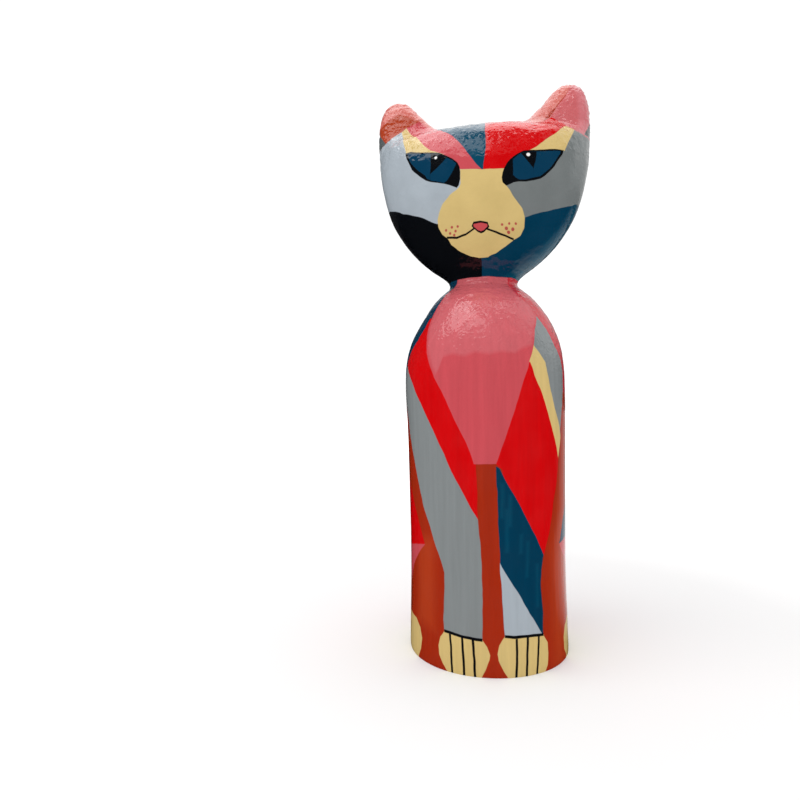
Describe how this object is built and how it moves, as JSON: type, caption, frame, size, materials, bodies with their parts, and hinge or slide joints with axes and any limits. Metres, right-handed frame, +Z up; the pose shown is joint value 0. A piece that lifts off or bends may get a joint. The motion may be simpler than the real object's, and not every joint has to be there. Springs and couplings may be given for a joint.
{
  "type": "papier-mache cat ornament",
  "caption": "Seated papier-mache cat: upright bottle-shaped body on a flat base, tight neck and a wide bowl-shaped head with thick upright ears.",
  "frame": {"origin": "middle of the flat round underside, on the surface that the cat stands on", "axes": "+Z up the body to the ears, -Y out of the breast and the front paws, +X to the cat's own left"},
  "size_m": [0.122, 0.0888, 0.3138],
  "materials": {
    "painted_papier_mache": "acrylic paint in plain coloured fields under a glossy varnish"
  },
  "bodies": {
    "root": {"papier_mache_cat": "painted_papier_mache"}
  },
  "joints": []
}
